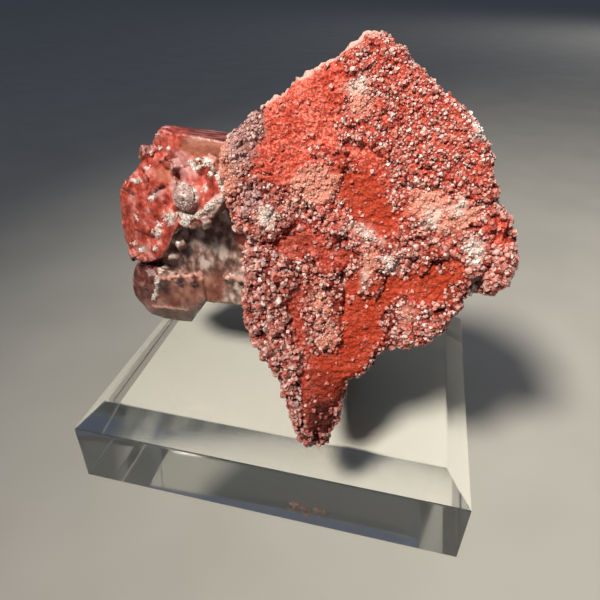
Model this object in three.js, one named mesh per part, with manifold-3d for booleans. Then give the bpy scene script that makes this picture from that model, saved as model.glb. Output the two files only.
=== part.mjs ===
// Calcite on matrix: a hematite-red plate of druse-covered rock with a cluster of
// intergrown calcite crystals behind its left edge, standing on a clear bevelled block.
// Millimetres. X runs right along the block's front edge, Y runs back and Z is up.
// The origin is the middle of the block's underside.
import * as THREE from 'three';
import { ConvexGeometry } from 'three/addons/geometries/ConvexGeometry.js';
import { mergeVertices } from 'three/addons/utils/BufferGeometryUtils.js';
import Module from 'manifold-3d';

// Display block.
const blockWidth = 100;
const blockDepth = 78;
const blockHeight = 24;
const bevelInset = 6.3;
const bevelDrop = 5.8;

// The specimen stands on the block with a hairline of air under it.
const restGap = 0.3;
const restHeight = blockHeight + restGap;

// Plate: its front face leans back, and its lowest tip is at plateTip.
const plateTip = new THREE.Vector3(12.5, -35.8, restHeight);
const plateLean = THREE.MathUtils.degToRad(14);
const plateCentre = [4, 50];
const plateThickness = 10;
const plateBulge = 5;
const gridStep = 3;
const gridLeft = -30;
const gridRight = 42;
const gridBottom = -5;
const gridTop = 94;

// Air between the calcite cluster and the matrix it sits on.
const clusterGap = 0.7;

// Outline of the plate's face, anticlockwise from the apex: across and up from the tip.
const plateOutline = [
  [5, 89], [2, 88.4], [-1, 86], [-3, 84.2], [-5, 83.4], [-7.5, 81.6], [-10, 80.6],
  [-12.5, 78], [-15, 76.6], [-18, 74], [-20, 71.6], [-22, 70.2], [-25.4, 65.6],
  [-25.2, 62], [-24, 59.4], [-24.2, 56.4], [-22, 53], [-21, 50.2], [-19, 48],
  [-18.2, 45], [-18.8, 42.6], [-17.6, 40], [-18.6, 35.4], [-17.8, 33], [-18.8, 31],
  [-17, 28], [-16.4, 25.6], [-14.6, 24], [-13.2, 21.4], [-11, 20], [-10.2, 17.2],
  [-8.4, 15], [-8, 12.6], [-6.2, 9.4], [-5, 6.6], [-4.4, 4], [-3.2, 0.8], [-1.2, 0],
  [1.4, 0], [3, 1.2], [4, 5], [5, 9], [4.8, 13], [5.6, 17], [6.6, 19.4], [8.6, 20.8],
  [10.6, 23], [11.8, 26.2], [14.4, 28.2], [16.2, 29.6], [18.4, 29.4], [22, 30.6],
  [23.4, 33], [25, 35.4], [26.8, 38.4], [27.8, 42], [28.4, 46], [30.2, 46.6],
  [31, 43.2], [33.4, 43.8], [35, 46], [36, 49.4], [35, 52.4], [34.6, 55.6],
  [33, 58.6], [30.6, 61], [29.2, 65], [27.6, 69], [26.4, 71.6], [25, 74],
  [23.4, 75.8], [20.8, 77.8], [18.4, 79.2], [15.8, 81.2], [13.2, 83], [10, 85.6], [7.6, 87.6],
];

// The plate's sides, front to back: depth behind the face and size.
const plateRings = [
  [-8, 0.95], [-0.6, 0.985], [1.4, 1], [5, 0.96], [10, 0.88], [16, 0.76], [24, 0.6],
];

// Raised crusts of small crystals on the face: rise, crystal spacing and outline.
const crusts = [
  { rise: 1.3, spacing: 4.8, outline: [[5, 89], [0, 84], [3, 80], [1, 76], [2, 70], [8, 68],
    [14, 63], [21, 64], [27, 61], [30, 63], [27, 70], [22, 76], [12, 83]] },
  { rise: 1.6, spacing: 4.4, outline: [[-9, 61], [-8, 64], [-4, 66], [-6, 68], [0, 69.5],
    [2, 66], [0, 64], [0, 60], [-1, 55], [-5, 57]] },
  { rise: 1.8, spacing: 4.4, outline: [[-20, 52], [-18, 56], [-12, 57], [-9, 54], [-10, 50],
    [-18, 49]] },
  { rise: 1.7, spacing: 4.6, outline: [[0, 57], [5, 55], [10, 51.5], [13, 56], [17, 61],
    [25, 61], [30, 57], [31, 50], [28, 44], [25.5, 50.5], [21, 50], [18, 46], [15, 50],
    [12, 46], [10, 40], [6, 40], [8, 45], [6, 48.5], [2, 52], [-2, 53]] },
  { rise: 1.9, spacing: 4.5, outline: [[-19, 47], [-13, 47], [-9, 45], [-7, 42], [-8, 38],
    [-9, 34], [-7, 30], [-5, 26], [-4.5, 21], [-6, 15], [-4, 9], [-3, 2], [-8, 10],
    [-13, 20], [-18, 28], [-18, 38]] },
  { rise: 1.5, spacing: 4.6, outline: [[-5, 44], [1, 45], [3, 41], [3, 35], [4, 29], [0, 27],
    [-2, 31], [-4, 35], [-5, 40]] },
  { rise: 1.5, spacing: 4.4, outline: [[12, 30], [14, 35], [15, 39], [20, 40], [25, 38],
    [24, 34], [20, 31], [16, 29]] },
  { rise: 2, spacing: 3.8, outline: [[31, 44], [31.5, 50], [33, 54], [35.5, 51], [35, 46]] },
];

// Small rhombs of the crusts and of the rim: smallest size and how much larger they get.
const crustRhombSize = 1.9;
const rimRhombSize = 1.6;
const rhombSpread = 1;
const rhombFlattening = 0.8;
const rimInset = 0.955;

// Hollows in the face: across, up, half width, half height and depth.
const hollows = [
  [0.3, 2.6, 1.5, 2.2, 2.2], [-19, 49, 1.4, 2, 3], [-10.5, 27.5, 2.6, 0.9, 2],
  [33.2, 55, 0.9, 2.4, 2.5],
];

// Broken rock behind the plate, as corners right, back and up.
const rearRock = [
  [-8, -16, 84], [-9, -18, 60], [-8, -16, 50], [-9, 3, 58], [-8, 5, 74], [2, -14, 92],
  [9, 6, 86], [24, -14, 90], [35, -18, 74], [36, -20, 62], [32, 0, 70], [29, 6, 58],
  [21, 12, 66], [5, 14, 61], [3, 13, 77], [19, 10, 79], [2, -20, 42], [22, -22, 46],
  [9, 8, 42], [22, 3, 47],
];
const footRock = [
  [9.5, -34, 22], [14.5, -34, 22], [16, 8, 22], [4, 10, 22], [3, -2, 22], [10, -30, 36],
  [15.5, -30, 36], [-3, 4, 40], [-5, -14, 48], [18, -16, 46], [21, 3, 45], [13, 11, 52],
  [0, 9, 50],
];

// Angular chunks that stand out of the broken back: place, size and random seed.
const rearChunks = [
  [0, 10, 70, 9, 3], [16, 9, 72, 8, 5], [10, 11, 58, 9, 8], [24, 4, 62, 9, 13],
  [-2, 6, 60, 7, 21], [6, 5, 84, 7, 34], [18, 0, 84, 8, 55], [30, -8, 72, 8, 89],
  [3, 5, 46, 8, 144], [15, 5, 44, 7, 233], [10, 2, 33, 7, 377], [26, -10, 82, 6, 610],
];

// Calcite crystals of the cluster: corners as right, back and up.
const topPrism = [
  [-37, 6, 85.6], [-15.5, 6, 84.8], [-34, -3, 86.7], [-24, -5, 86], [-12, -7, 86],
  [-36.5, 0, 84.5], [-37.5, -1, 83], [-36.5, -1, 81.5], [-33.5, -4, 79.5],
  [-25.5, -6, 78.5], [-11, -8, 79], [-35, 8, 74], [-12, 9, 72],
];
const shieldCrystal = [
  [-38.5, -1, 80.5], [-41, -2, 77.5], [-48, -2, 70], [-50, 0, 66], [-51, 1, 61],
  [-51.5, 1, 53.5], [-51, 1.5, 50], [-46.5, -3, 51], [-39, -8, 52.5], [-34.5, -10, 55.5],
  [-31, -11, 60.5], [-27.5, -12, 66.5], [-26.5, -12, 70.5], [-27, -10.5, 77],
  [-32, -6, 80], [-45, 12, 68], [-44, 12, 55], [-30, 14, 76], [-28, 12, 54],
];
const paleCrystal = [
  [-27, -9, 79], [-21, -10, 82.5], [-14, -13, 84.5], [-11, -15, 82], [-12, -16.5, 79],
  [-14, -16.5, 75], [-17, -15, 71], [-22, -13.5, 69.5], [-26, -12.5, 70.5],
  [-24, 2, 76], [-12, 2, 78], [-14, 0, 70],
];
const smokyCrystal = [
  [-28, -7, 68.5], [-16.5, -8, 71.5], [-9, -8, 69], [-8, -11, 48], [-11, -10, 44.5],
  [-24, -8, 42.5], [-36, -6, 47], [-37, -5.5, 52], [-33, -5, 59], [-10, 12, 66],
  [-10, 12, 46], [-32, 12, 48], [-32, 12, 66],
];
const lowerCrystal = [
  [-37.5, -9, 47], [-24, -9, 50], [-23.5, -9, 44], [-28, -8, 38.5], [-38.5, -8, 38],
  [-44, -4, 32.3], [-39, -5, 32], [-30.5, -5, 32.5], [-26.5, -4, 38.5], [-39.5, -8, 51.5],
  [-48, -1, 47], [-50.8, 0, 41], [-50.8, 0, 35.5], [-49.2, 0, 32.8], [-46, 10, 36],
  [-45, 10, 48], [-27, 10, 38], [-27, 8, 50], [-42, 6, 32.5],
];
const drusyBall = { centre: [-24, -11.5, 73.5], half: [3.4, 3, 3.6], detail: 2, rough: 0.12 };

// Small rhombs grown on the cluster: place and size.
const clusterRhombs = [
  [-39.5, -1, 80, 3], [-37.5, -2, 81, 2.4], [-25, -12, 68, 3.4], [-22.5, -13.5, 68.5, 3],
  [-19, -14.5, 69.5, 2.6], [-13, -14.5, 82, 3.6], [-12, -15, 85, 2.6], [-16.5, -13, 83.5, 3],
  [-20, -11.5, 82, 2.8], [-46.5, -3, 51.5, 3], [-42, -6.5, 52, 2.6], [-38.5, -9, 49.5, 3],
  [-36, -9.5, 48.5, 2.6], [-31, -9.5, 49.5, 2.4], [-27, -9.5, 50, 2.4], [-43, -5.5, 44, 3],
  [-32, -8, 56, 3], [-29, -9, 60, 2.6], [-31, -7.5, 81, 2.6], [-28, -8.5, 80, 3],
  [-13, -9.5, 53, 3.2], [-16, -9.5, 52.5, 2.6], [-10.5, -10.5, 50.5, 3], [-44, -4, 72, 2.6],
];

const wasm = await Module();
wasm.setup();

// Repeatable random numbers from 0 to 1.
function makeRandom(seed) {
  let state = seed;
  return () => {
    state = (state * 1664525 + 1013904223) % 4294967296;
    return state / 4294967296;
  };
}

// Smooth unevenness from -1 to 1 at a point of space, with lumps about one unit across.
function unevenness(x, y, z) {
  const broad = Math.sin(1.7 * x + 0.6 * y + 1.1) * Math.cos(1.3 * y - 0.8 * z + 0.4);
  const middle = Math.sin(2.9 * y + 1.1 * z + 2.3) * Math.cos(2.3 * x - 1.9 * z);
  const fine = Math.sin(5.3 * x - 3.1 * z + 0.7) * Math.cos(4.7 * y + 2.2 * x);
  return 0.5 * broad + 0.3 * middle + 0.2 * fine;
}

function isInside(outline, across, up) {
  let inside = false;
  outline.forEach(([x0, y0], i) => {
    const [x1, y1] = outline[(i + 1) % outline.length];
    if ((y0 > up) === (y1 > up)) return;
    if (across < x0 + ((up - y0) * (x1 - x0)) / (y1 - y0)) inside = !inside;
  });
  return inside;
}

function toSolid(geometry) {
  const bare = geometry.clone();
  bare.deleteAttribute('normal');
  bare.deleteAttribute('uv');
  const merged = mergeVertices(bare, 1e-4);
  return new wasm.Manifold(new wasm.Mesh({
    numProp: 3,
    vertProperties: new Float32Array(merged.attributes.position.array),
    triVerts: new Uint32Array(merged.index.array),
  }));
}

function toGeometry(solid) {
  const mesh = solid.getMesh();
  const indexed = new THREE.BufferGeometry();
  indexed.setAttribute('position', new THREE.BufferAttribute(mesh.vertProperties, 3));
  indexed.setIndex(new THREE.BufferAttribute(mesh.triVerts, 1));
  const geometry = indexed.toNonIndexed();
  geometry.computeVertexNormals();
  return geometry;
}

function joinAll(solids) {
  return solids.reduce((joined, solid) => joined.add(solid));
}

// The solid's outer shell alone, without sealed hollows or loose crumbs.
function outerShell(solid) {
  const shells = solid.decompose();
  return shells.reduce((largest, shell) => (shell.volume() > largest.volume() ? shell : largest));
}

// Turns plate coordinates (across, up, out of the face) into the object's frame.
function plateToWorld() {
  const across = new THREE.Vector3(1, 0, 0);
  const up = new THREE.Vector3(0, Math.sin(plateLean), Math.cos(plateLean));
  const out = new THREE.Vector3().crossVectors(across, up);
  return new THREE.Matrix4().makeBasis(across, up, out).setPosition(plateTip);
}

// Height of the bare face above its plane: gentle swells, turned away at the tip's right.
function bareHeight(across, up) {
  const swell = 0.9 * unevenness(across / 13, up / 13, 0.3);
  const grain = 0.35 * unevenness(across / 2.1, up / 2.3, 4);
  const nearTip = THREE.MathUtils.clamp((20 - up) / 12, 0, 1);
  const turned = 0.42 * nearTip * Math.max(0, across + 1.5);
  return swell + grain - turned;
}

function frontHeight(across, up) {
  const crust = crusts.find(({ outline }) => isInside(outline, across, up));
  return bareHeight(across, up) + (crust ? crust.rise : 0);
}

function backDepth(across, up) {
  const fromCentre = Math.hypot((across - plateCentre[0]) / 26, (up - plateCentre[1]) / 34);
  const bulge = plateBulge * Math.max(0, 1 - fromCentre * fromCentre);
  return plateThickness + bulge + 1.6 * unevenness(across / 7, up / 7, 9);
}

// A slab of the whole grid, with the plate's face in front and broken rock behind.
function plateSlab(grow) {
  const columns = Math.round((gridRight - gridLeft) / gridStep);
  const rows = Math.round((gridTop - gridBottom) / gridStep);
  const random = makeRandom(7);
  const front = [];
  const back = [];
  for (let row = 0; row <= rows; row += 1) {
    for (let column = 0; column <= columns; column += 1) {
      const across = gridLeft + gridStep * (column + 0.5 * (random() - 0.5));
      const up = gridBottom + gridStep * (row + 0.5 * (random() - 0.5));
      front.push(across, up, frontHeight(across, up) + grow);
      back.push(across, up, -backDepth(across, up) - grow);
    }
  }
  const width = columns + 1;
  const behind = front.length / 3;
  const index = [];
  for (let row = 0; row < rows; row += 1) {
    for (let column = 0; column < columns; column += 1) {
      const a = row * width + column;
      const [b, c, d] = [a + 1, a + width, a + width + 1];
      index.push(a, b, d, a, d, c);
      index.push(behind + a, behind + d, behind + b, behind + a, behind + c, behind + d);
    }
  }
  const rim = [];
  for (let column = 0; column < columns; column += 1) rim.push(column);
  for (let row = 0; row < rows; row += 1) rim.push(row * width + columns);
  for (let column = columns; column > 0; column -= 1) rim.push(rows * width + column);
  for (let row = rows; row > 0; row -= 1) rim.push(row * width);
  rim.forEach((a, i) => {
    const b = rim[(i + 1) % rim.length];
    index.push(a, behind + a, b, b, behind + a, behind + b);
  });
  const geometry = new THREE.BufferGeometry();
  geometry.setAttribute('position', new THREE.Float32BufferAttribute([...front, ...back], 3));
  geometry.setIndex(index);
  return toSolid(geometry);
}

// The plate's outline carried from front to back through its rings.
function plateSides(grow) {
  const positions = [];
  plateRings.forEach(([depth, size]) => {
    plateOutline.forEach(([across, up]) => {
      const right = across - plateCentre[0];
      const above = up - plateCentre[1];
      const reach = size + grow / Math.hypot(right, above);
      positions.push(plateCentre[0] + right * reach, plateCentre[1] + above * reach, -depth);
    });
  });
  const count = plateOutline.length;
  const index = [];
  for (let ring = 0; ring + 1 < plateRings.length; ring += 1) {
    for (let i = 0; i < count; i += 1) {
      const a = ring * count + i;
      const b = ring * count + ((i + 1) % count);
      index.push(a, a + count, b, b, a + count, b + count);
    }
  }
  const flat = plateOutline.map(([across, up]) => new THREE.Vector2(across, up));
  const last = (plateRings.length - 1) * count;
  THREE.ShapeUtils.triangulateShape(flat, []).forEach(([a, b, c]) => {
    index.push(a, b, c, last + a, last + c, last + b);
  });
  const geometry = new THREE.BufferGeometry();
  geometry.setAttribute('position', new THREE.Float32BufferAttribute(positions, 3));
  geometry.setIndex(index);
  return toSolid(geometry);
}

// A rhomb standing on its point: a cube turned corner up and flattened a little.
function rhomb(size, turn, tiltX, tiltY) {
  const geometry = new THREE.BoxGeometry(size, size, size);
  const corner = new THREE.Vector3(1, 1, 1).normalize();
  const upright = new THREE.Quaternion().setFromUnitVectors(corner, new THREE.Vector3(0, 0, 1));
  geometry.applyQuaternion(upright);
  geometry.scale(1, 1, rhombFlattening);
  geometry.rotateZ(turn);
  geometry.rotateX(tiltX);
  geometry.rotateY(tiltY);
  return geometry;
}

function crustRhombs() {
  const random = makeRandom(23);
  const rhombs = [];
  crusts.forEach(({ outline, spacing }) => {
    const acrossRange = outline.map(([across]) => across);
    const upRange = outline.map(([, up]) => up);
    for (let up = Math.min(...upRange); up < Math.max(...upRange); up += spacing) {
      for (let across = Math.min(...acrossRange); across < Math.max(...acrossRange); across += spacing) {
        const x = across + spacing * 0.8 * (random() - 0.5);
        const y = up + spacing * 0.8 * (random() - 0.5);
        const size = crustRhombSize + rhombSpread * random();
        const geometry = rhomb(size, 6 * random(), random() - 0.5, random() - 0.5);
        if (!isInside(outline, x, y) || !isInside(plateOutline, x, y)) continue;
        geometry.translate(x, y, frontHeight(x, y) - 0.3 * size);
        rhombs.push(toSolid(geometry));
      }
    }
  });
  return rhombs;
}

// Crystals in a row along the plate's broken rim, at every other corner of its outline.
function rimRhombs() {
  const random = makeRandom(41);
  return plateOutline.filter((corner, i) => i % 2 === 0).map(([across, up]) => {
    const x = plateCentre[0] + (across - plateCentre[0]) * rimInset;
    const y = plateCentre[1] + (up - plateCentre[1]) * rimInset;
    const size = rimRhombSize + rhombSpread * random();
    const geometry = rhomb(size, 6 * random(), random() - 0.5, random() - 0.5);
    geometry.translate(x, y, frontHeight(x, y) - 0.6 - random());
    return toSolid(geometry);
  });
}

function hollow([across, up, halfWidth, halfHeight, depth]) {
  const geometry = new THREE.OctahedronGeometry(1, 1);
  geometry.scale(halfWidth, halfHeight, depth);
  geometry.translate(across, up, frontHeight(across, up));
  return toSolid(geometry);
}

// A rounded lump with an uneven, faceted surface.
function lump({ centre, half, detail, rough }) {
  const geometry = new THREE.IcosahedronGeometry(1, detail);
  const position = geometry.attributes.position;
  for (let i = 0; i < position.count; i += 1) {
    const direction = new THREE.Vector3().fromBufferAttribute(position, i);
    const uneven = 1 + rough * unevenness(3 * direction.x, 3 * direction.y, 3 * direction.z);
    const place = new THREE.Vector3(...half).multiply(direction).multiplyScalar(uneven);
    place.add(new THREE.Vector3(...centre));
    position.setXYZ(i, place.x, place.y, place.z);
  }
  return toSolid(geometry);
}

// The space above the block's top, wide enough for the whole specimen.
function aboveBlock() {
  const reach = 200;
  const geometry = new THREE.BoxGeometry(reach, reach, reach);
  geometry.translate(0, 0, restHeight + reach / 2);
  return toSolid(geometry);
}

// An angular chunk of rock: the hull of points scattered round its middle.
function chunk([x, y, z, size, seed]) {
  const random = makeRandom(seed);
  const corners = Array.from({ length: 16 }, () => {
    const direction = new THREE.Vector3(random() - 0.5, random() - 0.5, random() - 0.5);
    direction.setLength(size * (0.75 + 0.25 * random()));
    return direction.add(new THREE.Vector3(x, y, z));
  });
  return toSolid(new ConvexGeometry(corners));
}

// The rock behind the plate; swelled a little, it marks the room that it takes up.
function rearSolid(grow) {
  const swell = (corners) => {
    const middle = new THREE.Vector3();
    corners.forEach((corner) => middle.add(new THREE.Vector3(...corner)));
    middle.divideScalar(corners.length);
    return corners.map((corner) => {
      const fromMiddle = new THREE.Vector3(...corner).sub(middle);
      return fromMiddle.setLength(fromMiddle.length() + grow).add(middle).toArray();
    });
  };
  const chunks = rearChunks.map(([x, y, z, size, seed]) => chunk([x, y, z, size + grow, seed]));
  const rocks = [rearRock, footRock].map((corners) => convexCrystal(swell(corners)));
  return joinAll([...rocks, ...chunks]);
}

function matrixSolid() {
  const worldPlace = plateToWorld().elements;
  const face = joinAll([plateSlab(0).intersect(plateSides(0)), ...crustRhombs(), ...rimRhombs()]);
  const plate = face.subtract(joinAll(hollows.map(hollow)));
  const whole = plate.transform([...worldPlace]).add(rearSolid(0));
  return outerShell(whole.intersect(aboveBlock()));
}

// The room that the matrix takes out of the calcite cluster, with the air around it.
function matrixRoom() {
  const worldPlace = plateToWorld().elements;
  const plate = plateSlab(clusterGap).intersect(plateSides(clusterGap));
  const rims = joinAll([...crustRhombs(), ...rimRhombs()]);
  return plate.add(rims).transform([...worldPlace]).add(rearSolid(clusterGap));
}

function convexCrystal(corners) {
  return toSolid(new ConvexGeometry(corners.map((corner) => new THREE.Vector3(...corner))));
}

function calciteSolid() {
  const random = makeRandom(11);
  const rhombs = clusterRhombs.map(([x, y, z, size]) => {
    const geometry = rhomb(size, 6 * random(), 1.2 + random(), random());
    geometry.translate(x, y, z);
    return toSolid(geometry);
  });
  const crystals = [topPrism, shieldCrystal, paleCrystal, smokyCrystal, lowerCrystal];
  const cluster = joinAll([...crystals.map(convexCrystal), lump(drusyBall), ...rhombs]);
  return outerShell(cluster.subtract(matrixRoom()));
}

function blockGeometry() {
  const x = blockWidth / 2;
  const y = blockDepth / 2;
  const shoulder = blockHeight - bevelDrop;
  const corners = [];
  [[-1, -1], [1, -1], [1, 1], [-1, 1]].forEach(([sideX, sideY]) => {
    corners.push(new THREE.Vector3(sideX * x, sideY * y, 0));
    corners.push(new THREE.Vector3(sideX * x, sideY * y, shoulder));
    corners.push(new THREE.Vector3(sideX * (x - bevelInset), sideY * (y - bevelInset), blockHeight));
  });
  return new ConvexGeometry(corners);
}

const clearAcrylic = new THREE.MeshStandardMaterial({ color: 0xe6ebea, roughness: 0.03, metalness: 0 });
const redDruse = new THREE.MeshStandardMaterial({ color: 0xa6432f, roughness: 0.7, metalness: 0 });
const redCalcite = new THREE.MeshStandardMaterial({ color: 0xb3563d, roughness: 0.35, metalness: 0 });

const displayBlock = new THREE.Mesh(blockGeometry(), clearAcrylic);
displayBlock.name = 'display_block';

const matrix = new THREE.Mesh(toGeometry(matrixSolid()), redDruse);
matrix.name = 'matrix';

const calcite = new THREE.Mesh(toGeometry(calciteSolid()), redCalcite);
calcite.name = 'calcite_crystals';

const specimen = new THREE.Group();
specimen.add(displayBlock, matrix, calcite);

export default specimen;
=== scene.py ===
import math

import bmesh
import bpy
import numpy as np
from mathutils import Matrix, Vector, noise
from mathutils.geometry import delaunay_2d_cdt


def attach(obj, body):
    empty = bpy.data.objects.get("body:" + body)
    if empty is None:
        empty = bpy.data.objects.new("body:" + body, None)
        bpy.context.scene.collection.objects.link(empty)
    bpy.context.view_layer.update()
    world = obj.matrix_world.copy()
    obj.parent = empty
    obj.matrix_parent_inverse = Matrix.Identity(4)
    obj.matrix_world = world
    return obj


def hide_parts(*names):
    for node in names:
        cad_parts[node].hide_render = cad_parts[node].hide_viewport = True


# Calcite on matrix: a red druse-covered plate and a calcite cluster on a clear block.
# Sizes are in millimetres here and turned to metres when a mesh is made.

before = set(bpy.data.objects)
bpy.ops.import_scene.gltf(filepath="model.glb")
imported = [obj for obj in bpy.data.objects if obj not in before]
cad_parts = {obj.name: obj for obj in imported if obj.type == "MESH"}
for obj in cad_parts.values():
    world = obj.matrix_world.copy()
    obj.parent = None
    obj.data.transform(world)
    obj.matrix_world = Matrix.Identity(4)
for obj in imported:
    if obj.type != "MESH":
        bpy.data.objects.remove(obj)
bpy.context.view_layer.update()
mm = 0.001
print("frame loaded:", ", ".join(sorted(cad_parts)))


# small helpers

def linearColour(hexText):
    parts = [int(hexText[i:i + 2], 16) / 255 for i in (1, 3, 5)]
    linear = [c / 12.92 if c <= 0.04045 else ((c + 0.055) / 1.055) ** 2.4 for c in parts]
    return (*linear, 1.0)


def addNode(tree, kind, inputs=None, stops=None, **settings):
    # one node with its settings; an input is a value or another node's output
    node = tree.nodes.new(kind)
    for name, value in settings.items():
        setattr(node, name, value)
    for name, value in (inputs or {}).items():
        if isinstance(value, bpy.types.NodeSocket):
            tree.links.new(value, node.inputs[name])
        else:
            node.inputs[name].default_value = value
    if stops:
        while len(node.color_ramp.elements) < len(stops):
            node.color_ramp.elements.new(0.5)
        for element, (place, colour) in zip(node.color_ramp.elements, stops):
            element.position = place
            element.color = linearColour(colour)
    return node


def newMaterial(name):
    # an empty material, its node tree and its object coordinates
    material = bpy.data.materials.new(name)
    material.use_nodes = True
    tree = material.node_tree
    tree.nodes.clear()
    return material, tree, addNode(tree, "ShaderNodeTexCoord").outputs["Object"]


def layTints(tree, tone, tints):
    # colours laid over a tone, each to its share where the piece's own values say
    for name, colour, most in tints:
        mask = addNode(tree, "ShaderNodeAttribute", attribute_name=name)
        share = addNode(tree, "ShaderNodeMath", {0: mask.outputs["Fac"], 1: most}, operation="MULTIPLY")
        over = linearColour(colour) if isinstance(colour, str) else colour
        tone = addNode(tree, "ShaderNodeMix", {0: share.outputs[0], 6: tone, 7: over}, data_type="RGBA").outputs[2]
    return tone


def meshPiece(name, points, faces, material):
    # points in millimetres
    mesh = bpy.data.meshes.new(name)
    mesh.from_pydata((np.asarray(points) * mm).tolist(), [], faces)
    mesh.update()
    piece = bpy.data.objects.new(name, mesh)
    bpy.context.scene.collection.objects.link(piece)
    mesh.materials.append(material)
    return piece


def placesOf(piece):
    # the piece's points as an array in millimetres
    flat = np.zeros(len(piece.data.vertices) * 3, np.float32)
    piece.data.vertices.foreach_get("co", flat)
    return flat.reshape(-1, 3).astype(float) / mm


def movePoints(piece, places):
    piece.data.vertices.foreach_set("co", (places * mm).astype(np.float32).ravel())
    piece.data.update()


def normalsOf(piece):
    flat = np.zeros(len(piece.data.vertices) * 3, np.float32)
    piece.data.vertices.foreach_get("normal", flat)
    return flat.reshape(-1, 3).astype(float)


def storeValues(piece, values):
    # numbers for each point, read by materials and by the crystals that grow on the piece
    for name, numbers in values.items():
        attribute = piece.data.attributes.new(name, "FLOAT", "POINT")
        attribute.data.foreach_set("value", np.asarray(numbers, np.float32))


def smoothFaces(piece):
    for polygon in piece.data.polygons:
        polygon.use_smooth = True


def mergedCopy(nodeName, pieceName):
    # a CAD node's shape as a new piece with its loose triangles joined up
    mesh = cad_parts[nodeName].data.copy()
    mesh.materials.clear()
    work = bmesh.new()
    work.from_mesh(mesh)
    bmesh.ops.remove_doubles(work, verts=work.verts, dist=0.002 * mm)
    bmesh.ops.recalc_face_normals(work, faces=work.faces)
    work.to_mesh(mesh)
    work.free()
    piece = bpy.data.objects.new(pieceName, mesh)
    bpy.context.scene.collection.objects.link(piece)
    return piece


def bakeModifiers(piece):
    # the piece's modifiers become its own plain mesh
    seen = piece.evaluated_get(bpy.context.evaluated_depsgraph_get())
    mesh = bpy.data.meshes.new_from_object(seen)
    mesh.name = piece.name
    piece.modifiers.clear()
    piece.data = mesh


def remesh(piece, cell):
    # even quads of one cell size, so that fine relief can be pushed into them
    modifier = piece.modifiers.new("even quads", "REMESH")
    modifier.mode = "VOXEL"
    modifier.voxel_size = cell * mm
    bakeModifiers(piece)


def grain(places, size, seed=0.0):
    # smooth unevenness from about -1 to 1, with lumps of that size
    shift = Vector((seed * 13.7, seed * 7.9, seed * 3.1))
    return 1.6 * np.array([noise.noise(Vector(p) / size + shift) for p in places])


def layeredGrain(places, layers, seed):
    # unevenness of several sizes, each with its height
    return sum(height * grain(places, size, seed + i) for i, (size, height) in enumerate(layers))


def cells(places, size, seed=0.0):
    # rounded cobbles of that size: 1 on their tops and 0 in the gaps
    shift = Vector((seed * 11.3, seed * 5.7, seed * 2.3))
    nearest = [noise.voronoi(Vector(p) / size + shift)[0] for p in places]
    near = np.array([d[0] for d in nearest])
    gap = np.array([d[1] - d[0] for d in nearest])
    return np.clip(1 - near, 0, 1) * np.clip(gap * 3, 0, 1)


def smooth(values):
    t = np.clip(values, 0, 1)
    return t * t * (3 - 2 * t)


def segmentDistance(points, start, end):
    (x0, y0), (x1, y1) = start, end
    x, y = points[:, 0], points[:, 1]
    along = ((x - x0) * (x1 - x0) + (y - y0) * (y1 - y0)) / ((x1 - x0) ** 2 + (y1 - y0) ** 2)
    along = along.clip(0, 1)
    return np.hypot(x - x0 - along * (x1 - x0), y - y0 - along * (y1 - y0))


def insideDistance(points, outline):
    # distance to an outline, above 0 inside it
    nearest = np.full(len(points), 1e9)
    inside = np.zeros(len(points), bool)
    x, y = points[:, 0], points[:, 1]
    for (x0, y0), (x1, y1) in zip(outline, outline[1:] + outline[:1]):
        nearest = np.minimum(nearest, segmentDistance(points, (x0, y0), (x1, y1)))
        if y0 != y1:
            crossing = ((y0 > y) != (y1 > y)) & (x < x0 + (y - y0) * (x1 - x0) / (y1 - y0))
            inside ^= crossing
    return np.where(inside, nearest, -nearest)


def zone(points, outlines, soft, wobble):
    # 1 inside any of the outlines and 0 outside, with a border of that softness
    best = np.full(len(points), -1e9)
    for outline in outlines:
        best = np.maximum(best, insideDistance(points, outline))
    return smooth(0.5 + (best + wobble) / soft)


# camera, at the photograph's place and turn

cameraView = {
    "place": (26.447, -115.841, 118.689),
    "right": (0.97332, 0.22860, 0.01968),
    "up": (-0.14006, 0.52399, 0.84013),
    "lens": 30.33,
    "sensor": 36,
    "clip": (0.005, 30),
    "picture": 600,
}


def makeCamera(view):
    data = bpy.data.cameras.new("camera")
    data.lens = view["lens"]
    data.sensor_width = view["sensor"]
    data.clip_start, data.clip_end = view["clip"]
    camera = bpy.data.objects.new("camera", data)
    right, up = Vector(view["right"]).normalized(), Vector(view["up"]).normalized()
    back = right.cross(up)
    turn = Matrix((right, up, back)).transposed().to_4x4()
    camera.matrix_world = Matrix.Translation(Vector(view["place"]) * mm) @ turn
    bpy.context.scene.collection.objects.link(camera)
    bpy.context.scene.camera = camera


makeCamera(cameraView)
bpy.context.scene.view_settings.view_transform = "Standard"
# light in the clear block turns back many times before it leaves
turns = 32
cycles = bpy.context.scene.cycles
cycles.max_bounces = cycles.glossy_bounces = cycles.transmission_bounces = turns
# the block lets the lamps' light through unbent, so its bent light isn't counted as well
cycles.caustics_refractive = False


# studio: pale floor, a softbox from the upper left, a weak fill and a softbox for the far floor

studio = {
    "floorHalf": 6000,
    "floorDrop": 0.06,
    "floorTones": ("#aba89d", "#b3b0a5"),
    # painted light: a lighter tone for the floor under the block, and the half size of that area
    "paintedLightUnderBlock": "#efebde",
    "paintedLightHalf": (48, 37),
    # place, aim, width, spread in degrees, power and colour; the far one doesn't reach the stone
    "softboxes": {
        "key": ((-205.527, -379.931, 609.388), (225, 110, 0), 135, 56, 0.96, "#fff9f1"),
        "fill": ((120, -110, 560), (5, -8, 55), 420, 180, 0.45, "#f4f3f4"),
        "far": ((1100, 1200, 700), (800, 1300, 0), 300, 120, 2.8, "#f4f3f4")},
    "skyColour": "#687187",
    "skyStrength": 0.52,
}


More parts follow.
